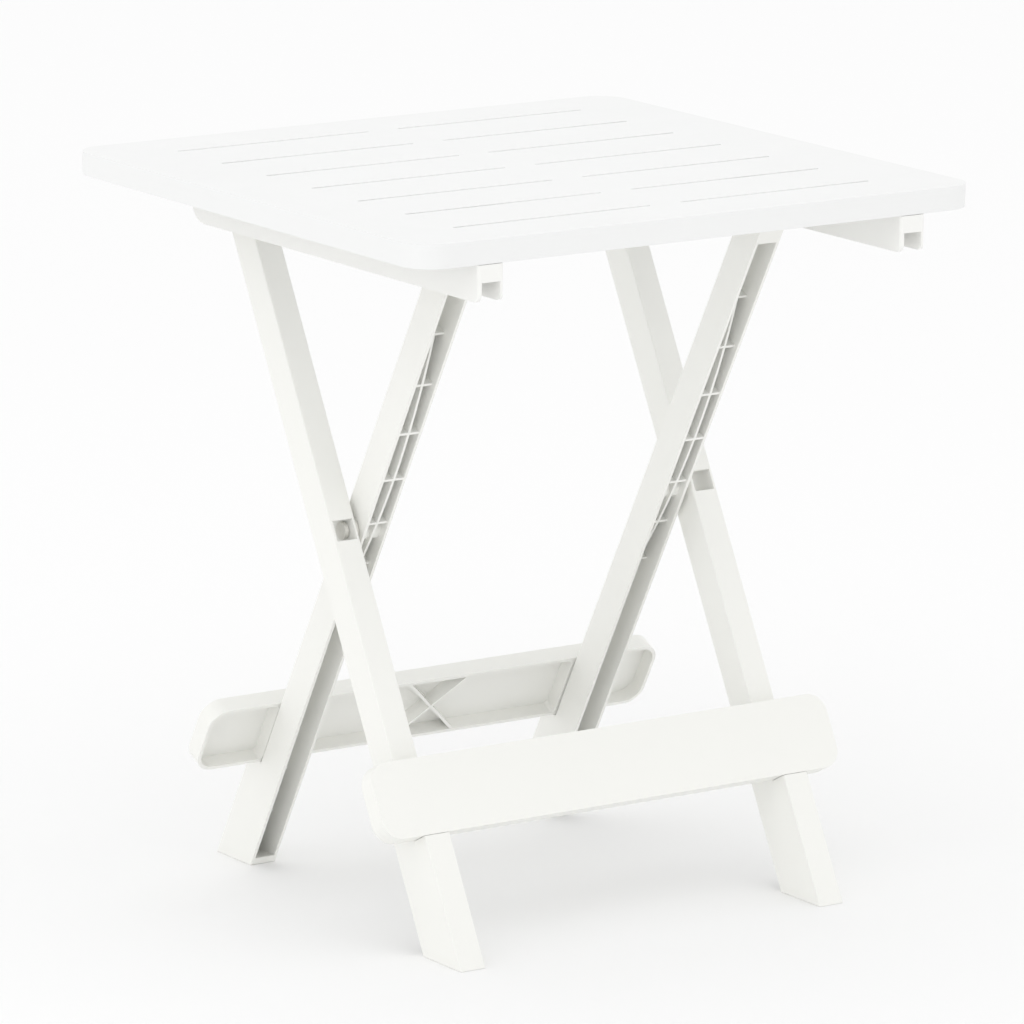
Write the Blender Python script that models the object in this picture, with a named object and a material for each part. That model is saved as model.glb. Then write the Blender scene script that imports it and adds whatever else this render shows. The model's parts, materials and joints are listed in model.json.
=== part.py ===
"""Folding picnic table: a slotted top on two crossed leg frames.

Axes: X along the slots of the top, Y from the front (-Y) to the rear (+Y), Z up from the floor.
Everything is in metres. The outer frame stands at the front and leans back to the side rails.
The inner frame stands at the rear and leans forward to the hinge lugs.
"""

import math

import bmesh
import bpy
from mathutils import Matrix, Vector

# ---------------------------------------------------------------- driving dimensions

TOP_LENGTH = 0.450  # along X
TOP_WIDTH = 0.430  # along Y
HEIGHT = 0.500

GAP = 0.0003  # between pieces that touch
RUN = 0.0003  # all round a pin that turns or slides
OVERLAP = 0.001  # how far shapes joined into one moulding reach into each other
CUT = 0.002  # how far a cutter stands clear of the face that it opens
BITE = 0.0001  # how far a cutter goes into a wall that it clears of ribs

SKIRT_DEPTH = 0.016
SKIRT_WALL = 0.003
PLATE = 0.004
CORNER_RADIUS = 0.022
TOP_EDGE_RADIUS = 0.004
SLOT_ROWS = 7
SLOT_PITCH = 0.056
SLOT_WIDTH = 0.0028
SLOT_INNER_END = 0.012
SLOT_OUTER_END = 0.168
RIB = 0.002
RIB_DEPTH = 0.006
SCREW_BOSS_RADIUS = 0.005

RAIL_INNER_X = 0.160
RAIL_WIDTH = 0.020
RAIL_WALL = 0.0028
RAIL_DROP = 0.025  # below the skirt
RAIL_BEYOND_PIN = 0.0215  # at the rear, past the guide pins
RAIL_REAR_RADIUS = 0.016
RAIL_FRONT_RADIUS = 0.005
RAIL_NOSE_RADIUS = 0.0024
RAIL_MOUTH_HEIGHT = 0.013

PIN_DROP = 0.030  # hinge pins and guide pins, below the top's surface
CROSSING_SHARE = 0.5617  # height of the crossing, of the height of the pins
LEAN_RUN = 0.1404  # from the crossing to the middle of a foot, along Y

LEG_DEPTH = 0.025
LEG_WALL = 0.0022
LEG_SKIN = 0.0026
OUTER_LEG_X = 0.158  # outer face of an outer leg
OUTER_LEG_WIDTH = 0.020
INNER_LEG_X = 0.134  # outer face of an inner leg
INNER_LEG_WIDTH = 0.020
LEG_EDGE_RADIUS = 0.0012
LEG_RIB = 0.0018
LEG_RIB_FIRST = 0.0655  # from the top pin
LEG_RIB_LAST = 0.040  # from the floor
LEG_RIB_COUNT = 12
LEG_RIBS_LEFT_OUT = (7, 8, 9)  # behind the crossbar
RIB_CREST = 0.175  # from the top pin, where the ribs reach the leg's open side
RIB_CREST_SPAN = 0.115
RIB_RECESS = 0.010  # of the ribs' edges, a crest span from the crest
RIB_DEEPEST = 0.017
FOOT_WEB = 0.006  # solid end of a foot

BAR_HALF_LENGTH = 0.188
BAR_HEIGHT = 0.053
BAR_DEPTH = 0.0135
BAR_BACK_CLEARANCE = 0.0008  # to the other frame's legs when folded
BAR_TOP_FROM_FLOOR = 0.1332  # along the leg, to the crossbar's upper edge
BAR_WALL = 0.0025
BAR_CORNER_RADIUS = 0.014
BAR_CROSS_HALF = 0.026  # half length of the X-shaped stiffener
PEG_RADIUS = 0.0035
PEG_LENGTH = 0.008
PEG_SPACING = 0.030

PIVOT_PIN_RADIUS = 0.0045
PIVOT_BOSS_RADIUS = 0.0078
PIVOT_HEAD_RADIUS = 0.0062
PIVOT_HEAD = 0.003
WINDOW_LENGTH = 0.0145
WINDOW_SHIFT = 0.0025  # down the leg from the pivot
SPACER_RADIUS = 0.009

HINGE_PIN_RADIUS = 0.004
HINGE_HEAD = 0.003
HINGE_HEAD_RADIUS = 0.0065
BLIND_END = 0.003  # wall left at the end of a blind bore
HOOK_THICKNESS = 0.008
HOOK_TO_LEG = 0.005
HOOK_HALF_WIDTH = 0.0095
HOOK_ARM = 0.006  # below the pin, in front of it
HOOK_OPEN_FROM = 60  # degrees above the rear, where the seat ends
BRACKET_PLATE = 0.0025
BRACKET_HALF_LENGTH = 0.026
BRACKET_HALF_WIDTH = 0.008
BRACKET_SCREW_REACH = 0.018

GUIDE_PIN_RADIUS = 0.004
GUIDE_HEAD_RADIUS = 0.0065
GUIDE_HEAD = 0.0045

SCREW_FRONT_INSET = 0.050
SCREW_REAR_INSET = 0.0265
SCREW_MIDDLE_Y = -0.020
SCREW_RADIUS = 0.0017
SCREW_HEAD_RADIUS = 0.0036
SCREW_HEAD = 0.002
SCREW_TIP_GAP = 0.002

# ---------------------------------------------------------------- worked out from them

SKIRT_BOTTOM_Z = HEIGHT - SKIRT_DEPTH
PLATE_BOTTOM_Z = HEIGHT - PLATE
RIB_BOTTOM_Z = PLATE_BOTTOM_Z - RIB_DEPTH
RAIL_TOP_Z = RIB_BOTTOM_Z - GAP
RAIL_BOTTOM_Z = SKIRT_BOTTOM_Z - RAIL_DROP
RAIL_ROOF_Z = RAIL_TOP_Z - RAIL_WALL
RAIL_OUTER_X = RAIL_INNER_X + RAIL_WIDTH
RAIL_MIDDLE_X = RAIL_INNER_X + RAIL_WIDTH / 2
FRONT_Y = -TOP_WIDTH / 2

PIN_LINE_Z = HEIGHT - PIN_DROP
CROSSING_Z = PIN_LINE_Z * CROSSING_SHARE
LEAN = math.atan2(LEAN_RUN, CROSSING_Z)
PIN_TO_PIVOT = (PIN_LINE_Z - CROSSING_Z) / math.cos(LEAN)
TOP_PIN_Y = PIN_TO_PIVOT * math.sin(LEAN)
RAIL_REAR_Y = TOP_PIN_Y + RAIL_BEYOND_PIN
SCREW_ROWS = (FRONT_Y + SCREW_FRONT_INSET, SCREW_MIDDLE_Y, RAIL_REAR_Y - SCREW_REAR_INSET)
HALF_DEPTH = LEG_DEPTH / 2
DOWN_TO_FLOOR = PIN_LINE_Z / math.cos(LEAN)
LEG_RIB_PITCH = (DOWN_TO_FLOOR - LEG_RIB_FIRST - LEG_RIB_LAST) / (LEG_RIB_COUNT - 1)
BAR_TOP_FROM_PIN = DOWN_TO_FLOOR - BAR_TOP_FROM_FLOOR
BAR_BOTTOM_FROM_PIN = BAR_TOP_FROM_PIN + BAR_HEIGHT
BAR_FACE = HALF_DEPTH + BAR_BACK_CLEARANCE + BAR_DEPTH  # from the leg's centre line
OUTER_LEG = (OUTER_LEG_X - OUTER_LEG_WIDTH, OUTER_LEG_X)
INNER_LEG = (INNER_LEG_X - INNER_LEG_WIDTH, INNER_LEG_X)
HOOK_OUTER_X = INNER_LEG[0] - HOOK_TO_LEG
HOOK_INNER_X = HOOK_OUTER_X - HOOK_THICKNESS
HOOK_MIDDLE_X = (HOOK_INNER_X + HOOK_OUTER_X) / 2

SEGMENTS = 24
SIDES = {"left": -1, "right": 1}

# ---------------------------------------------------------------- scene and materials


def clear_scene():
    for existing in list(bpy.data.objects):
        bpy.data.objects.remove(existing, do_unlink=True)


def new_collection(name):
    collection = bpy.data.collections.new(name)
    bpy.context.scene.collection.children.link(collection)
    return collection


def new_material(name, colour, roughness, metallic=0.0):
    material = bpy.data.materials.new(name)
    material.use_nodes = True
    shader = material.node_tree.nodes["Principled BSDF"]
    shader.inputs["Base Color"].default_value = (*colour, 1.0)
    shader.inputs["Roughness"].default_value = roughness
    shader.inputs["Metallic"].default_value = metallic
    return material


clear_scene()
PARTS = new_collection("folding_picnic_table")
CUTTERS = new_collection("cutters")
WHITE = {
    name: new_material(name, colour, roughness)
    for name, colour, roughness in (
        ("top_plastic", (0.90, 0.91, 0.90), 0.38),
        ("rail_plastic", (0.88, 0.89, 0.87), 0.42),
        ("frame_plastic", (0.89, 0.89, 0.86), 0.42),
        ("pin_plastic", (0.80, 0.80, 0.76), 0.35),
    )
}
STEEL = new_material("zinc_steel", (0.62, 0.63, 0.64), 0.30, 1.0)

# ---------------------------------------------------------------- shape helpers


def arc(centre, radius, start, end, steps):
    """Points of an arc in a plane, angles in degrees, both ends included."""
    return [
        (
            centre[0] + radius * math.cos(math.radians(start + (end - start) * i / steps)),
            centre[1] + radius * math.sin(math.radians(start + (end - start) * i / steps)),
        )
        for i in range(steps + 1)
    ]


def rounded_outline(points, radii, steps=5):
    """A polygon with each corner rounded to its own radius, 0 for a sharp one."""
    outline = []
    for index, (corner, radius) in enumerate(zip(points, radii)):
        here = Vector(corner)
        if not radius:
            outline.append(tuple(here))
            continue
        before = (Vector(points[index - 1]) - here).normalized()
        after = (Vector(points[(index + 1) % len(points)]) - here).normalized()
        half_angle = before.angle(after) / 2
        middle = here + (before + after).normalized() * radius / math.sin(half_angle)
        first = here + before * radius / math.tan(half_angle) - middle
        last = here + after * radius / math.tan(half_angle) - middle
        turn = first.angle_signed(last)
        for step in range(steps + 1):
            angle = -turn * step / steps
            spoke = Matrix.Rotation(angle, 2) @ first
            outline.append(tuple(middle + spoke))
    return outline


def rectangle(x_low, x_high, y_low, y_high, radius=0.0, steps=5):
    corners = [(x_low, y_low), (x_high, y_low), (x_high, y_high), (x_low, y_high)]
    return rounded_outline(corners, [radius] * 4, steps)


def stadium(centre, half_length, radius, steps=6):
    """A slot along the first axis with round ends."""
    right = arc((centre[0] + half_length, centre[1]), radius, -90, 90, steps)
    left = arc((centre[0] - half_length, centre[1]), radius, 90, 270, steps)
    return right + left


def prism(name, outline, low, high, frame=Matrix.Identity(4)):
    """A flat outline, extruded from low to high along the third axis of a frame."""
    curve = bpy.data.curves.new(name, "CURVE")
    curve.dimensions = "2D"
    curve.fill_mode = "BOTH"
    curve.extrude = (high - low) / 2
    spline = curve.splines.new("POLY")
    spline.points.add(len(outline) - 1)
    for point, place in zip(spline.points, outline):
        point.co = (place[0], place[1], 0.0, 1.0)
    spline.use_cyclic_u = True
    flat = bpy.data.objects.new(name + "_outline", curve)
    bpy.context.scene.collection.objects.link(flat)
    shaped = bpy.data.meshes.new_from_object(
        flat.evaluated_get(bpy.context.evaluated_depsgraph_get())
    )
    bpy.data.objects.remove(flat)
    bpy.data.curves.remove(curve)
    shell = bmesh.new()
    shell.from_mesh(shaped)
    bpy.data.meshes.remove(shaped)
    bmesh.ops.remove_doubles(shell, verts=shell.verts, dist=1e-6)
    bmesh.ops.translate(shell, vec=(0, 0, (low + high) / 2), verts=shell.verts)
    bmesh.ops.transform(shell, matrix=frame, verts=shell.verts)
    bmesh.ops.recalc_face_normals(shell, faces=shell.faces)
    return shell


def box(x_low, x_high, y_low, y_high, z_low, z_high, frame=Matrix.Identity(4)):
    shell = bmesh.new()
    bmesh.ops.create_cube(shell, size=1.0)
    size = Matrix.Diagonal((x_high - x_low, y_high - y_low, z_high - z_low, 1.0))
    middle = Vector((x_low + x_high, y_low + y_high, z_low + z_high)) / 2
    bmesh.ops.transform(shell, matrix=frame @ Matrix.Translation(middle) @ size, verts=shell.verts)
    bmesh.ops.recalc_face_normals(shell, faces=shell.faces)
    return shell


def cylinder(centre, axis, radius, low, high, segments=SEGMENTS):
    """A smooth round bar along X or Z through a centre, from low to high on that axis."""
    shell = bmesh.new()
    bmesh.ops.create_cone(
        shell,
        cap_ends=True,
        segments=segments,
        radius1=radius,
        radius2=radius,
        depth=high - low,
    )
    for face in shell.faces:
        face.smooth = len(face.verts) == 4
    turn = Matrix.Rotation(math.radians(90), 4, "Y") if axis == "X" else Matrix.Identity(4)
    place = Vector(centre)
    place["XYZ".index(axis)] = (low + high) / 2
    bmesh.ops.transform(shell, matrix=Matrix.Translation(place) @ turn, verts=shell.verts)
    return shell


def gather(shells):
    """Separate closed shapes in one mesh, as a cutter or as shapes to be joined."""
    together = bmesh.new()
    for shell in shells:
        mesh = bpy.data.meshes.new("shell")
        shell.to_mesh(mesh)
        shell.free()
        together.from_mesh(mesh)
        bpy.data.meshes.remove(mesh)
    return together


def to_object(shell, name, collection):
    mesh = bpy.data.meshes.new(name)
    shell.to_mesh(mesh)
    shell.free()
    thing = bpy.data.objects.new(name, mesh)
    collection.objects.link(thing)
    return thing


def combine(target, shell, operation, name):
    """Cut a shape out of an object, or join it on, with a Boolean modifier."""
    tool = to_object(shell, name, CUTTERS)
    tool.hide_render = True
    tool.display_type = "WIRE"
    tool.hide_set(True)
    change = target.modifiers.new(name, "BOOLEAN")
    change.operation = operation
    change.solver = "EXACT"
    change.object = tool


def finish(piece, material, pivot=None):
    """Give a piece its material, and its origin on its joint's axis."""
    piece.data.materials.append(material)
    if pivot is not None:
        piece.data.transform(Matrix.Translation(-Vector(pivot)))
        piece.location = pivot
    return piece


# A plane seen from the side: first axis Y, second axis Z, third axis X.
SIDE_VIEW = Matrix(((0, 0, 1, 0), (1, 0, 0, 0), (0, 1, 0, 0), (0, 0, 0, 1)))


def x_range(side, near, far):
    """Low and high X between two distances from the middle, on one side."""
    ends = (side * near, side * far)
    return min(ends), max(ends)


# ---------------------------------------------------------------- tabletop


def slot_row_y(row):
    return (row - (SLOT_ROWS - 1) / 2) * SLOT_PITCH


def top_block():
    outline = rectangle(
        -TOP_LENGTH / 2, TOP_LENGTH / 2, -TOP_WIDTH / 2, TOP_WIDTH / 2, CORNER_RADIUS, 8
    )
    block = prism("tabletop", outline, SKIRT_BOTTOM_Z, HEIGHT)
    rim = [
        edge
        for edge in block.edges
        if all(abs(vert.co.z - HEIGHT) < 1e-6 for vert in edge.verts)
        and any(abs(face.normal.z) < 0.5 for face in edge.link_faces)
    ]
    bmesh.ops.bevel(
        block,
        geom=rim,
        offset=TOP_EDGE_RADIUS,
        segments=3,
        profile=0.5,
        affect="EDGES",
        clamp_overlap=True,
    )
    return block


def top_cavity():
    inset_x = TOP_LENGTH / 2 - SKIRT_WALL
    inset_y = TOP_WIDTH / 2 - SKIRT_WALL
    outline = rectangle(-inset_x, inset_x, -inset_y, inset_y, CORNER_RADIUS - SKIRT_WALL, 8)
    return prism("cavity", outline, SKIRT_BOTTOM_Z - CUT, PLATE_BOTTOM_Z)


def top_slots():
    half_length = (SLOT_OUTER_END - SLOT_INNER_END) / 2 - SLOT_WIDTH / 2
    middle = (SLOT_OUTER_END + SLOT_INNER_END) / 2
    return gather(
        prism(
            "slot",
            stadium((side * middle, slot_row_y(row)), half_length, SLOT_WIDTH / 2, 4),
            PLATE_BOTTOM_Z - CUT,
            HEIGHT + CUT,
        )
        for row in range(SLOT_ROWS)
        for side in SIDES.values()
    )


def bracket_screw_places(side):
    return [
        (side * HOOK_MIDDLE_X, -TOP_PIN_Y + reach, 0)
        for reach in (-BRACKET_SCREW_REACH, BRACKET_SCREW_REACH)
    ]


def top_screw_places(side):
    rail = [(side * RAIL_MIDDLE_X, y, 0) for y in SCREW_ROWS]
    return rail + bracket_screw_places(side)


def tabletop():
    piece = to_object(top_block(), "tabletop", PARTS)
    combine(piece, top_cavity(), "DIFFERENCE", "top_cavity")
    reach_x = TOP_LENGTH / 2 - SKIRT_WALL + OVERLAP
    rib_top = PLATE_BOTTOM_Z + OVERLAP
    for row in range(SLOT_ROWS - 1):
        middle = (slot_row_y(row) + slot_row_y(row + 1)) / 2
        rib = box(-reach_x, reach_x, middle - RIB / 2, middle + RIB / 2, RIB_BOTTOM_Z, rib_top)
        combine(piece, rib, "UNION", f"long_rib_{row}")
    for label, side in SIDES.items():
        for index, place in enumerate(top_screw_places(side)):
            boss = cylinder(place, "Z", SCREW_BOSS_RADIUS, RIB_BOTTOM_Z, rib_top)
            combine(piece, boss, "UNION", f"screw_boss_{label}_{index}")
    combine(piece, top_slots(), "DIFFERENCE", "top_slots")
    bores = [
        cylinder(
            place, "Z", SCREW_RADIUS + RUN, RIB_BOTTOM_Z - CUT, PLATE_BOTTOM_Z - GAP, 12
        )
        for side in SIDES.values()
        for place in top_screw_places(side)
    ]
    combine(piece, gather(bores), "DIFFERENCE", "top_bores")
    return finish(piece, WHITE["top_plastic"])


# ---------------------------------------------------------------- side rails


def nose_corner(edge_x, away):
    """What is cut from a rail's upright front corner to round it."""
    radius = RAIL_NOSE_RADIUS
    centre = (edge_x - away * radius, FRONT_Y + radius)
    sweep = arc(centre, radius, 0 if away > 0 else 180, -90 if away > 0 else 270, 5)
    corner = [
        (edge_x - away * radius, FRONT_Y - CUT),
        (edge_x + away * CUT, FRONT_Y - CUT),
        (edge_x + away * CUT, FRONT_Y + radius),
    ]
    return prism("corner", sweep + corner, RAIL_BOTTOM_Z - CUT, SKIRT_BOTTOM_Z - GAP / 2)


def side_rail(label, side):
    nose_y = FRONT_Y + SKIRT_WALL + GAP
    under_skirt_z = SKIRT_BOTTOM_Z - GAP
    outline = rounded_outline(
        [
            (FRONT_Y, RAIL_BOTTOM_Z),
            (RAIL_REAR_Y, RAIL_BOTTOM_Z),
            (RAIL_REAR_Y, RAIL_TOP_Z),
            (nose_y, RAIL_TOP_Z),
            (nose_y, under_skirt_z),
            (FRONT_Y, under_skirt_z),
        ],
        [RAIL_FRONT_RADIUS, RAIL_REAR_RADIUS, 0, 0, 0, 0],
    )
    low, high = x_range(side, RAIL_INNER_X, RAIL_OUTER_X)
    piece = to_object(prism("rail", outline, low, high, SIDE_VIEW), f"side_rail_{label}", PARTS)
    noses = gather(nose_corner(low, -1) if end < 0 else nose_corner(high, 1) for end in (-1, 1))
    combine(piece, noses, "DIFFERENCE", f"rail_nose_{label}")
    low, high = x_range(side, RAIL_INNER_X + RAIL_WALL, RAIL_OUTER_X - RAIL_WALL)
    channel = rounded_outline(
        [
            (nose_y + GAP, RAIL_BOTTOM_Z - CUT),
            (RAIL_REAR_Y - RAIL_WALL, RAIL_BOTTOM_Z - CUT),
            (RAIL_REAR_Y - RAIL_WALL, RAIL_ROOF_Z),
            (nose_y + GAP, RAIL_ROOF_Z),
        ],
        [0, RAIL_REAR_RADIUS - RAIL_WALL, 0, 0],
    )
    combine(
        piece, prism("channel", channel, low, high, SIDE_VIEW), "DIFFERENCE", f"channel_{label}"
    )
    mouth = box(
        low,
        high,
        FRONT_Y - CUT,
        nose_y + CUT,
        RAIL_BOTTOM_Z - CUT,
        RAIL_BOTTOM_Z + RAIL_MOUTH_HEIGHT,
    )
    combine(piece, mouth, "DIFFERENCE", f"rail_mouth_{label}")
    low, high = x_range(side, RAIL_INNER_X - CUT, RAIL_INNER_X + RAIL_WALL + CUT)
    track = stadium((0, PIN_LINE_Z), TOP_PIN_Y, GUIDE_PIN_RADIUS + RUN)
    combine(piece, prism("track", track, low, high, SIDE_VIEW), "DIFFERENCE", f"track_{label}")
    bores = gather(
        cylinder(
            (side * RAIL_MIDDLE_X, y, 0),
            "Z",
            SCREW_RADIUS + RUN,
            RAIL_ROOF_Z - CUT,
            RAIL_TOP_Z + CUT,
            12,
        )
        for y in SCREW_ROWS
    )
    combine(piece, bores, "DIFFERENCE", f"rail_bores_{label}")
    return finish(piece, WHITE["rail_plastic"])


def screw(name, place, head_top):
    """A self-tapping screw whose head bears on the underside of a piece, at head_top."""
    tip = PLATE_BOTTOM_Z - GAP - SCREW_TIP_GAP
    head = cylinder(place, "Z", SCREW_HEAD_RADIUS, head_top - SCREW_HEAD, head_top, 16)
    piece = to_object(head, name, PARTS)
    shank = cylinder(place, "Z", SCREW_RADIUS, head_top - SCREW_HEAD / 2, tip, 12)
    combine(piece, shank, "UNION", f"{name}_shank")
    return finish(piece, STEEL)


# ---------------------------------------------------------------- front hinge brackets


def hinge_bracket(label, side):
    """A plate under the top with a hook that the hinge pin bears up into."""
    top = RIB_BOTTOM_Z - GAP
    plate = rectangle(
        side * HOOK_MIDDLE_X - BRACKET_HALF_WIDTH,
        side * HOOK_MIDDLE_X + BRACKET_HALF_WIDTH,
        -TOP_PIN_Y - BRACKET_HALF_LENGTH,
        -TOP_PIN_Y + BRACKET_HALF_LENGTH,
        0.004,
    )
    shell = prism("plate", plate, top - BRACKET_PLATE, top)
    piece = to_object(shell, f"hinge_bracket_{label}", PARTS)
    centre = (-TOP_PIN_Y, PIN_LINE_Z)
    seat = arc(centre, HINGE_PIN_RADIUS + RUN, HOOK_OPEN_FROM, 180, 10)
    rim = arc(centre, HOOK_HALF_WIDTH, HOOK_OPEN_FROM, 0, 2)[:1]
    outline = seat + [
        (seat[-1][0], PIN_LINE_Z - HOOK_ARM),
        (centre[0] - HOOK_HALF_WIDTH, PIN_LINE_Z - HOOK_ARM),
        (centre[0] - HOOK_HALF_WIDTH, top - BRACKET_PLATE / 2),
        (centre[0] + HOOK_HALF_WIDTH, top - BRACKET_PLATE / 2),
        rim[0],
    ]
    low, high = x_range(side, HOOK_INNER_X, HOOK_OUTER_X)
    combine(piece, prism("hook", outline, low, high, SIDE_VIEW), "UNION", f"hook_{label}")
    bores = gather(
        cylinder(place, "Z", SCREW_RADIUS + RUN, top - BRACKET_PLATE - CUT, top + CUT, 12)
        for place in bracket_screw_places(side)
    )
    combine(piece, bores, "DIFFERENCE", f"bracket_bores_{label}")
    return finish(piece, WHITE["rail_plastic"])


# ---------------------------------------------------------------- leg frames
# A leg is drawn in its own plane: first axis outward from the closed face, second axis up the
# leg, third axis X, with the top pin at the origin. The outer frame's closed face looks
# forward. The inner frame is the same drawing, reflected from front to rear.


def leg_frame(rearward):
    """From a leg's own plane to the table."""
    reflect = Matrix.Diagonal((1, -1, 1, 1)) if rearward else Matrix.Identity(4)
    outward = (0, -math.cos(LEAN), math.sin(LEAN))
    upward = (0, math.sin(LEAN), math.cos(LEAN))
    frame = Matrix((outward, upward, (1, 0, 0))).transposed().to_4x4()
    return reflect @ Matrix.Translation((0, TOP_PIN_Y, PIN_LINE_Z)) @ frame


OUTER_FRAME = leg_frame(False)
INNER_FRAME = leg_frame(True)


def floor_at(outward):
    """Where the floor cuts a leg, at a distance outward from its centre line."""
    return -(DOWN_TO_FLOOR + outward * math.tan(LEAN))


def leg_block(low, high, frame):
    pad_top = -(BAR_BOTTOM_FROM_PIN + GAP)
    outline = arc((0, 0), HALF_DEPTH, 0, 180, 12) + [
        (-HALF_DEPTH, floor_at(-HALF_DEPTH)),
        (BAR_FACE, floor_at(BAR_FACE)),
        (BAR_FACE, pad_top),
        (HALF_DEPTH, pad_top),
    ]
    block = prism("leg", outline, low, high)
    closed_face_edges = [
        edge
        for edge in block.edges
        if all(vert.co.x > HALF_DEPTH - 1e-6 for vert in edge.verts)
        and abs(edge.verts[0].co.x - edge.verts[1].co.x) < 1e-6
        and abs(edge.verts[0].co.z - edge.verts[1].co.z) < 1e-6
    ]
    bmesh.ops.bevel(
        block,
        geom=closed_face_edges,
        offset=LEG_EDGE_RADIUS,
        segments=2,
        profile=0.5,
        affect="EDGES",
        clamp_overlap=True,
    )
    bmesh.ops.transform(block, matrix=frame, verts=block.verts)
    bmesh.ops.recalc_face_normals(block, faces=block.faces)
    return block


def leg_channel(low, high, frame):
    """The hollow of a leg, open to the inside of the frame, deeper below the crossbar."""
    back = -HALF_DEPTH - CUT
    skin = HALF_DEPTH - LEG_SKIN
    pad_skin = BAR_FACE - LEG_SKIN
    pad_top = -(BAR_BOTTOM_FROM_PIN + GAP + LEG_SKIN)
    outline = [
        (back, -HALF_DEPTH),
        (back, floor_at(back) + FOOT_WEB),
        (pad_skin, floor_at(pad_skin) + FOOT_WEB),
        (pad_skin, pad_top),
        (skin, pad_top),
        (skin, -HALF_DEPTH),
    ]
    return prism("channel", outline, low + LEG_WALL, high - LEG_WALL, frame)


def rib_edge(along):
    """How far a rib's edge is from the leg's centre line, towards the open side."""
    share = (along - RIB_CREST) / RIB_CREST_SPAN
    return -HALF_DEPTH + min(RIB_RECESS * share * share, RIB_DEEPEST)


def leg_ribs(low, high, frame):
    """Cross ribs, and a lengthwise rib between the first ones with a curved edge."""
    root = HALF_DEPTH - LEG_SKIN / 2
    places = [LEG_RIB_FIRST + LEG_RIB_PITCH * number for number in range(LEG_RIB_COUNT)]
    shown = [place for index, place in enumerate(places) if index not in LEG_RIBS_LEFT_OUT]
    ribs = []
    for place in shown:
        below_bar = place > BAR_BOTTOM_FROM_PIN + LEG_SKIN
        ribs.append(
            box(
                rib_edge(place),
                BAR_FACE - LEG_SKIN / 2 if below_bar else root,
                -place - LEG_RIB / 2,
                -place + LEG_RIB / 2,
                low + LEG_WALL / 2,
                high - LEG_WALL / 2,
                frame,
            )
        )
    first = places[0] + LEG_RIB / 4
    last = places[LEG_RIBS_LEFT_OUT[0] - 1] - LEG_RIB / 4
    steps = 16
    curve = [
        (rib_edge(along), -along)
        for along in (first + (last - first) * step / steps for step in range(steps + 1))
    ]
    middle = (low + high) / 2
    lengthwise = prism(
        "rib",
        curve + [(root, -last), (root, -first)],
        middle - LEG_RIB / 2,
        middle + LEG_RIB / 2,
        frame,
    )
    return ribs, lengthwise


def peg(along, x, radius, low, high, frame):
    """A round bar along the outward axis of a leg's plane."""
    bar = cylinder((0, 0, 0), "X", radius, low, high, 16)
    bmesh.ops.translate(bar, vec=(0, along, x), verts=bar.verts)
    bmesh.ops.transform(bar, matrix=frame, verts=bar.verts)
    bmesh.ops.recalc_face_normals(bar, faces=bar.faces)
    return bar


def pegs(low_x, high_x, extra, low, high, frame):
    """The two pegs by which a crossbar is fixed to a leg, or their bores."""
    middle = -(BAR_TOP_FROM_PIN + BAR_HEIGHT / 2)
    return [
        peg(middle + reach, (low_x + high_x) / 2, PEG_RADIUS + extra, low, high, frame)
        for reach in (-PEG_SPACING / 2, PEG_SPACING / 2)
    ]


def leg(name, span, side, frame):
    low, high = x_range(side, *span)
    piece = to_object(leg_block(low, high, frame), name, PARTS)
    combine(piece, leg_channel(low, high, frame), "DIFFERENCE", f"{name}_channel")
    cross_ribs, lengthwise = leg_ribs(low, high, frame)
    combine(piece, gather(cross_ribs), "UNION", f"{name}_cross_ribs")
    combine(piece, lengthwise, "UNION", f"{name}_lengthwise_rib")
    bores = gather(pegs(low, high, GAP, HALF_DEPTH - PEG_LENGTH, HALF_DEPTH + CUT, frame))
    combine(piece, bores, "DIFFERENCE", f"{name}_peg_bores")
    return piece


def outer_leg(label, side):
    """A leg of the outer frame, with a window in its closed face over the pivot."""
    name = f"outer_leg_{label}"
    near, far = OUTER_LEG
    piece = leg(name, OUTER_LEG, side, OUTER_FRAME)
    low, high = x_range(side, near + LEG_WALL - BITE, far - LEG_WALL + BITE)
    clear = WINDOW_LENGTH / 2 + LEG_WALL
    room = box(
        -HALF_DEPTH - CUT,
        HALF_DEPTH - LEG_SKIN + BITE,
        -PIN_TO_PIVOT - clear,
        -PIN_TO_PIVOT + clear,
        low,
        high,
        OUTER_FRAME,
    )
    combine(piece, room, "DIFFERENCE", f"{name}_room")
    window_middle = -PIN_TO_PIVOT - WINDOW_SHIFT
    window = box(
        HALF_DEPTH - LEG_SKIN - CUT,
        HALF_DEPTH + CUT,
        window_middle - WINDOW_LENGTH / 2,
        window_middle + WINDOW_LENGTH / 2,
        low,
        high,
        OUTER_FRAME,
    )
    combine(piece, window, "DIFFERENCE", f"{name}_window")
    low, high = x_range(side, near - CUT, near + LEG_WALL + CUT)
    bore = cylinder((0, 0, CROSSING_Z), "X", PIVOT_PIN_RADIUS + RUN, low, high)
    low, high = x_range(side, near + BLIND_END - GAP, far + CUT)
    top_bore = cylinder(
        (0, TOP_PIN_Y, PIN_LINE_Z), "X", GUIDE_PIN_RADIUS + RUN, low, high
    )
    combine(piece, gather([bore, top_bore]), "DIFFERENCE", f"{name}_bores")
    return finish(piece, WHITE["frame_plastic"], (0, TOP_PIN_Y, PIN_LINE_Z))


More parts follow.
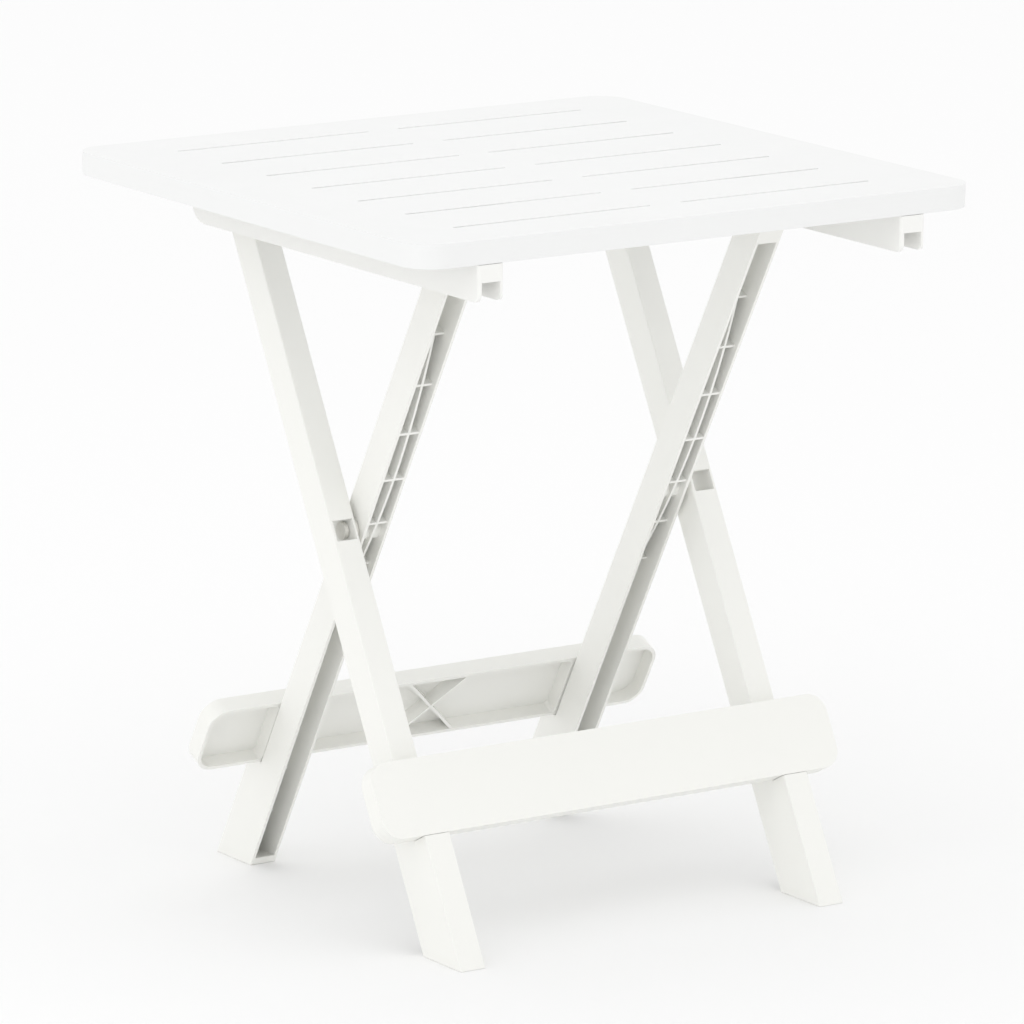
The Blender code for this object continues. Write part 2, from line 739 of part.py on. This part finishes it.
def inner_leg(label, side):
    name = f"inner_leg_{label}"
    near, far = INNER_LEG
    piece = leg(name, INNER_LEG, side, INNER_FRAME)
    low, high = x_range(side, near + LEG_WALL / 2, far - LEG_WALL / 2)
    boss = cylinder((0, 0, CROSSING_Z), "X", PIVOT_BOSS_RADIUS, low, high)
    combine(piece, boss, "UNION", f"{name}_boss")
    low, high = x_range(side, near + BLIND_END - GAP, far + CUT)
    bore = cylinder((0, 0, CROSSING_Z), "X", PIVOT_PIN_RADIUS + RUN, low, high)
    low, high = x_range(side, near - CUT, far - BLIND_END + GAP)
    top_bore = cylinder((0, -TOP_PIN_Y, PIN_LINE_Z), "X", HINGE_PIN_RADIUS + RUN, low, high)
    combine(piece, gather([bore, top_bore]), "DIFFERENCE", f"{name}_bores")
    return finish(piece, WHITE["frame_plastic"], (0, 0, CROSSING_Z))


# ---------------------------------------------------------------- crossbars


def cross_outline(middle, half_rise):
    """Two crossing ribs, from corner to corner of a crossbar's middle."""
    slope = math.atan2(half_rise, BAR_CROSS_HALF)
    tip = Vector((BAR_CROSS_HALF, half_rise))
    aside = Vector((-math.sin(slope), math.cos(slope))) * RIB / 2
    quarter = [
        Vector((RIB / 2 / math.sin(slope), 0)),
        tip - aside,
        tip + aside,
        Vector((0, RIB / 2 / math.cos(slope))),
    ]
    outline = []
    for right, up in ((1, 1), (-1, 1), (-1, -1), (1, -1)):
        run = quarter if right == up else quarter[::-1]
        outline += [(right * point.x, middle + up * point.y) for point in run[:-1]]
    return outline


def crossbar(name, span, frame, pivot):
    """A board across two legs: closed outward, hollow inward, with an X-shaped stiffener."""
    turned = frame @ Matrix(((0, 0, 1, 0), (0, 1, 0, 0), (1, 0, 0, 0), (0, 0, 0, 1)))
    bottom = -BAR_BOTTOM_FROM_PIN
    top = -BAR_TOP_FROM_PIN
    back = HALF_DEPTH + BAR_BACK_CLEARANCE
    outline = rectangle(-BAR_HALF_LENGTH, BAR_HALF_LENGTH, bottom, top, BAR_CORNER_RADIUS, 8)
    piece = to_object(prism("bar", outline, back, BAR_FACE, turned), name, PARTS)
    inner_radius = BAR_CORNER_RADIUS - BAR_WALL
    bays = [
        rectangle(
            -span[0] + OVERLAP,
            span[0] - OVERLAP,
            bottom + BAR_WALL,
            top - BAR_WALL,
            0.004,
            4,
        )
    ]
    for side in SIDES.values():
        low, high = x_range(side, span[1] - OVERLAP, BAR_HALF_LENGTH - BAR_WALL)
        radii = [0.003, inner_radius, inner_radius, 0.003]
        if side < 0:
            radii = [inner_radius, 0.003, 0.003, inner_radius]
        corners = [
            (low, bottom + BAR_WALL),
            (high, bottom + BAR_WALL),
            (high, top - BAR_WALL),
            (low, top - BAR_WALL),
        ]
        bays.append(rounded_outline(corners, radii, 6))
    hollow = gather(prism("bay", bay, back - CUT, BAR_FACE - LEG_SKIN, turned) for bay in bays)
    combine(piece, hollow, "DIFFERENCE", f"{name}_bays")
    stiffener = prism(
        "cross",
        cross_outline((bottom + top) / 2, (BAR_HEIGHT - BAR_WALL) / 2),
        back + OVERLAP / 2,
        BAR_FACE - LEG_SKIN / 2,
        turned,
    )
    combine(piece, stiffener, "UNION", f"{name}_cross")
    for label, side in SIDES.items():
        low, high = x_range(side, *span)
        pad = box(
            HALF_DEPTH + GAP,
            back + OVERLAP,
            bottom + BAR_WALL,
            top - BAR_WALL,
            low + 2 * OVERLAP,
            high - 2 * OVERLAP,
            frame,
        )
        combine(piece, pad, "UNION", f"{name}_pad_{label}")
        fixed = pegs(low, high, 0, HALF_DEPTH - PEG_LENGTH + GAP, back + OVERLAP, frame)
        combine(piece, gather(fixed), "UNION", f"{name}_pegs_{label}")
    return finish(piece, WHITE["frame_plastic"], pivot)


# ---------------------------------------------------------------- pins and spacers


def headed_pin(name, axis_place, shank, head, material):
    """A pin along X. shank and head are (radius, near, far), side by side."""
    side = 1 if name.endswith("right") else -1
    radius, near, far = head
    low, high = x_range(side, near, far)
    piece = to_object(cylinder(axis_place, "X", radius, low, high), name, PARTS)
    radius, near, far = shank
    low, high = x_range(side, near, far)
    combine(piece, cylinder(axis_place, "X", radius, low, high), "UNION", f"{name}_shank")
    return finish(piece, material, axis_place)


def pivot_pin(label):
    """Fixed in the inner leg, with its head behind the outer leg's inner wall."""
    head_near = OUTER_LEG[0] + LEG_WALL + GAP
    start = INNER_LEG[0] + BLIND_END
    return headed_pin(
        f"pivot_pin_{label}",
        (0, 0, CROSSING_Z),
        (PIVOT_PIN_RADIUS, start, head_near + PIVOT_HEAD / 2),
        (PIVOT_HEAD_RADIUS, head_near, head_near + PIVOT_HEAD),
        WHITE["pin_plastic"],
    )


def hinge_pin(label):
    head_far = HOOK_INNER_X - GAP
    end = INNER_LEG[1] - BLIND_END
    return headed_pin(
        f"hinge_pin_{label}",
        (0, -TOP_PIN_Y, PIN_LINE_Z),
        (HINGE_PIN_RADIUS, head_far - HINGE_HEAD / 2, end),
        (HINGE_HEAD_RADIUS, head_far - HINGE_HEAD, head_far),
        WHITE["pin_plastic"],
    )


def guide_pin(label):
    head_near = RAIL_INNER_X + RAIL_WALL + GAP
    start = OUTER_LEG[0] + BLIND_END
    return headed_pin(
        f"guide_pin_{label}",
        (0, TOP_PIN_Y, PIN_LINE_Z),
        (GUIDE_PIN_RADIUS, start, head_near + GUIDE_HEAD / 2),
        (GUIDE_HEAD_RADIUS, head_near, head_near + GUIDE_HEAD),
        WHITE["pin_plastic"],
    )


def pivot_spacer(label, side):
    low, high = x_range(side, INNER_LEG[1] + GAP, OUTER_LEG[0] - GAP)
    centre = (0, 0, CROSSING_Z)
    name = f"pivot_spacer_{label}"
    piece = to_object(cylinder(centre, "X", SPACER_RADIUS, low, high), name, PARTS)
    bore = cylinder(centre, "X", PIVOT_PIN_RADIUS + RUN, low - CUT, high + CUT)
    combine(piece, bore, "DIFFERENCE", f"{name}_bore")
    return finish(piece, WHITE["pin_plastic"], centre)


# ---------------------------------------------------------------- the whole table

tabletop()
for side_label, side_sign in SIDES.items():
    side_rail(side_label, side_sign)
    hinge_bracket(side_label, side_sign)
    for number, y in enumerate(SCREW_ROWS):
        screw(
            f"rail_screw_{side_label}_{number + 1}",
            (side_sign * RAIL_MIDDLE_X, y, 0),
            RAIL_ROOF_Z - GAP,
        )
    for number, spot in enumerate(bracket_screw_places(side_sign)):
        screw(
            f"bracket_screw_{side_label}_{number + 1}",
            spot,
            RIB_BOTTOM_Z - GAP - BRACKET_PLATE - GAP,
        )
    outer_leg(side_label, side_sign)
    inner_leg(side_label, side_sign)
    pivot_pin(side_label)
    hinge_pin(side_label)
    guide_pin(side_label)
    pivot_spacer(side_label, side_sign)
crossbar("front_crossbar", OUTER_LEG, OUTER_FRAME, (0, TOP_PIN_Y, PIN_LINE_Z))
crossbar("rear_crossbar", INNER_LEG, INNER_FRAME, (0, 0, CROSSING_Z))
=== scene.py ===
"""Looks of the folding picnic table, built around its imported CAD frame."""

import json
import math

import bmesh
import bpy
from mathutils import Matrix, Vector

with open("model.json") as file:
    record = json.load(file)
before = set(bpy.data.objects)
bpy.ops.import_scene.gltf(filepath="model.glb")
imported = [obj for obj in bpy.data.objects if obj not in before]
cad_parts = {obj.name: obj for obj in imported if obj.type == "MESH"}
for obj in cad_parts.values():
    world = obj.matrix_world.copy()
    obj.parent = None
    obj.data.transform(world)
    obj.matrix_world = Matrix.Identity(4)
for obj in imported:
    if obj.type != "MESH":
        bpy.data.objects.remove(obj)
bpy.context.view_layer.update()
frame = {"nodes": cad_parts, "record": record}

# ---------------------------------------------------------------- values

# Scales of the noise in the plastic, in waves per metre.
BLOTCH_SCALE = 9.0
SMEAR_SCALE = 35.0
WAVE_SCALE = 14.0
FINE_GRAIN_SCALE = 1800.0
PIN_GRAIN_SCALE = 2400.0
GRAIN_DEPTH = 0.00002
WAVE_DEPTH = 0.0006
GRAIN_STRENGTH = 0.35
WAVE_STRENGTH = 0.25
PLASTIC_SPECULAR = 0.45
DARKER = 0.985  # share of a plastic's colour in its darker blotches
LIGHTER = 1.012
SMOOTHER = 0.05  # off the roughness of a plastic
ROUGHER = 0.07

STEEL_DARK = (0.55, 0.56, 0.58, 1.0)
STEEL_LIGHT = (0.70, 0.70, 0.68, 1.0)
STEEL_COLOUR_SCALE = 400.0
STEEL_MARK_SCALE = 900.0
STEEL_ROUGHNESS = (0.25, 0.42)

# Sockets of a Mix node that mixes colours.
MIX_A = 6
MIX_B = 7
MIX_RESULT = 2

# The middle of a noise texture's values, which is mapped to a range.
NOISE_LOW = 0.3
NOISE_HIGH = 0.7

EDGE_WIDTH = {
    "top": 0.0006,
    "rails": 0.0006,
    "frames": 0.0007,
    "pins": 0.00025,
    "screws": 0.0003,
}
EDGE_SEGMENTS = 2
EDGE_ANGLE = math.radians(40)
FLAT_ANGLE = math.radians(0.5)
WELD_DISTANCE = 0.000002
TRIANGULATED = "front_crossbar"  # or the bevel turns the floor of a pocket over

FLOOR_SIZE = 30.0
FLOOR_Z = -0.0002  # just under the feet
FLOOR_COLOUR = (0.95, 0.95, 0.95, 1)
FLOOR_ROUGHNESS = 0.9
WORLD_COLOUR = (1, 1, 1, 1)
WORLD_STRENGTH = 1.02

CAMERA_PLACE = (-2.6954, -3.9021, 1.3271)
AZIMUTH = math.radians(34.6)
ELEVATION = math.radians(12.68)
ROLL = math.radians(0.64)
LENS = 250.0
SENSOR = 36.0
VIEW_DISTANCE = 100.0

# ---------------------------------------------------------------- materials


def new_material(name):
    """A material with nodes: the material, its node tree and its shader."""
    material = bpy.data.materials.new(name)
    material.use_nodes = True
    tree = material.node_tree
    return material, tree, tree.nodes["Principled BSDF"]


def node(tree, kind, **inputs):
    made = tree.nodes.new(kind)
    for name, value in inputs.items():
        made.inputs[name].default_value = value
    return made


def noise(tree, place, scale, detail=3.0, rough=0.6):
    made = node(tree, "ShaderNodeTexNoise", Scale=scale, Detail=detail, Roughness=rough)
    tree.links.new(place, made.inputs["Vector"])
    return made.outputs["Fac"]


def spread(tree, value, low, high):
    """Map a noise value to a range."""
    made = node(tree, "ShaderNodeMapRange")
    made.inputs["From Min"].default_value = NOISE_LOW
    made.inputs["From Max"].default_value = NOISE_HIGH
    made.inputs["To Min"].default_value = low
    made.inputs["To Max"].default_value = high
    tree.links.new(value, made.inputs["Value"])
    return made.outputs["Result"]


def blend_colours(tree, shader, share, first, second):
    """Colour a shader between two colours by a noise value."""
    mix = node(tree, "ShaderNodeMix")
    mix.data_type = "RGBA"
    mix.inputs[MIX_A].default_value = first
    mix.inputs[MIX_B].default_value = second
    tree.links.new(share, mix.inputs["Factor"])
    tree.links.new(mix.outputs[MIX_RESULT], shader.inputs["Base Color"])


def plastic(name, colour, rough, grain=FINE_GRAIN_SCALE):
    """Moulded polypropylene: fine grain, slow waves of the mould, faint blotches and gloss."""
    material, tree, shader = new_material(name)
    place = node(tree, "ShaderNodeTexCoord").outputs["Object"]
    dark = (*[channel * DARKER for channel in colour], 1.0)
    light = (*[min(1.0, channel * LIGHTER) for channel in colour], 1.0)
    blend_colours(tree, shader, noise(tree, place, BLOTCH_SCALE, 4.0), dark, light)
    smear = noise(tree, place, SMEAR_SCALE, 5.0, 0.7)
    gloss = spread(tree, smear, rough - SMOOTHER, rough + ROUGHER)
    tree.links.new(gloss, shader.inputs["Roughness"])
    shader.inputs["Specular IOR Level"].default_value = PLASTIC_SPECULAR
    fine = node(tree, "ShaderNodeBump", Strength=GRAIN_STRENGTH, Distance=GRAIN_DEPTH)
    tree.links.new(noise(tree, place, grain, 2.0), fine.inputs["Height"])
    waves = node(tree, "ShaderNodeBump", Strength=WAVE_STRENGTH, Distance=WAVE_DEPTH)
    tree.links.new(noise(tree, place, WAVE_SCALE, 2.0), waves.inputs["Height"])
    tree.links.new(fine.outputs["Normal"], waves.inputs["Normal"])
    tree.links.new(waves.outputs["Normal"], shader.inputs["Normal"])
    return material


def steel(name):
    """Zinc-plated screw steel with fine turning marks."""
    material, tree, shader = new_material(name)
    place = node(tree, "ShaderNodeTexCoord").outputs["Object"]
    tint = noise(tree, place, STEEL_COLOUR_SCALE)
    blend_colours(tree, shader, tint, STEEL_DARK, STEEL_LIGHT)
    shader.inputs["Metallic"].default_value = 1.0
    marks = spread(tree, noise(tree, place, STEEL_MARK_SCALE), *STEEL_ROUGHNESS)
    tree.links.new(marks, shader.inputs["Roughness"])
    return material


FINISHES = {
    "top": plastic("top_plastic", (0.865, 0.87, 0.865), 0.36),
    "rails": plastic("rail_plastic", (0.905, 0.905, 0.88), 0.42),
    "frames": plastic("frame_plastic", (0.905, 0.905, 0.87), 0.42),
    "pins": plastic("pin_plastic", (0.84, 0.83, 0.78), 0.35, PIN_GRAIN_SCALE),
    "screws": steel("zinc_steel"),
}

# ---------------------------------------------------------------- carried-over CAD nodes


def dress(name, thing, kind):
    """Give a CAD node its finish, rounded edges and even shading."""
    thing.data.materials.clear()
    thing.data.materials.append(FINISHES[kind])
    weld = thing.modifiers.new("weld", "WELD")
    weld.merge_threshold = WELD_DISTANCE
    flat = thing.modifiers.new("flat", "DECIMATE")
    flat.decimate_type = "DISSOLVE"
    flat.angle_limit = FLAT_ANGLE
    if name == TRIANGULATED:
        thing.modifiers.new("triangles", "TRIANGULATE")
    bevel = thing.modifiers.new("edge", "BEVEL")
    bevel.width = EDGE_WIDTH[kind]
    bevel.segments = EDGE_SEGMENTS
    bevel.limit_method = "ANGLE"
    bevel.angle_limit = EDGE_ANGLE
    bevel.use_clamp_overlap = True
    for face in thing.data.polygons:
        face.use_smooth = True
    normal = thing.modifiers.new("normals", "WEIGHTED_NORMAL")
    normal.keep_sharp = True


slot_of = {part["node"]: part["material_slot"] for part in frame["record"]["subparts"]}
for node_name, cad_node in frame["nodes"].items():
    dress(node_name, cad_node, slot_of[node_name])

# ---------------------------------------------------------------- floor and light


def area_light(name, place, target, size, power):
    lamp = bpy.data.lights.new(name, "AREA")
    lamp.shape = "DISK"
    lamp.size = size
    lamp.energy = power
    thing = bpy.data.objects.new(name, lamp)
    bpy.context.scene.collection.objects.link(thing)
    thing.location = place
    thing.rotation_euler = (Vector(target) - Vector(place)).to_track_quat("-Z", "Y").to_euler()
    return thing


floor_mesh = bpy.data.meshes.new("floor")
shell = bmesh.new()
bmesh.ops.create_grid(shell, x_segments=1, y_segments=1, size=FLOOR_SIZE)
shell.to_mesh(floor_mesh)
shell.free()
floor = bpy.data.objects.new("floor", floor_mesh)
bpy.context.scene.collection.objects.link(floor)
floor.location = (0, 0, FLOOR_Z)
paper, _, paper_shader = new_material("paper")
paper_shader.inputs["Base Color"].default_value = FLOOR_COLOUR
paper_shader.inputs["Roughness"].default_value = FLOOR_ROUGHNESS
floor_mesh.materials.append(paper)

world = bpy.data.worlds.new("studio")
world.use_nodes = True
background = world.node_tree.nodes["Background"]
background.inputs["Color"].default_value = WORLD_COLOUR
background.inputs["Strength"].default_value = WORLD_STRENGTH
bpy.context.scene.world = world
bpy.context.scene.view_settings.view_transform = "Standard"
key = area_light("key", (-1.3, -1.2, 2.8), (0, 0, 0.3), 2.0, 4)
fill = area_light("fill", (-2.6, -0.9, 0.7), (0, 0, 0.25), 1.8, 3.5)

# ---------------------------------------------------------------- camera

ahead = Vector(
    (
        math.sin(AZIMUTH) * math.cos(ELEVATION),
        math.cos(AZIMUTH) * math.cos(ELEVATION),
        -math.sin(ELEVATION),
    )
)
across = ahead.cross(Vector((0, 0, 1))).normalized()
above = across.cross(ahead)
right = across * math.cos(ROLL) + above * math.sin(ROLL)
up = above * math.cos(ROLL) - across * math.sin(ROLL)
turn = Matrix((right, up, -ahead)).transposed().to_4x4()
camera_data = bpy.data.cameras.new("camera")
camera_data.sensor_width = SENSOR
camera_data.lens = LENS
camera_data.clip_end = VIEW_DISTANCE
camera = bpy.data.objects.new("camera", camera_data)
bpy.context.scene.collection.objects.link(camera)
camera.matrix_world = Matrix.Translation(CAMERA_PLACE) @ turn
bpy.context.scene.camera = camera
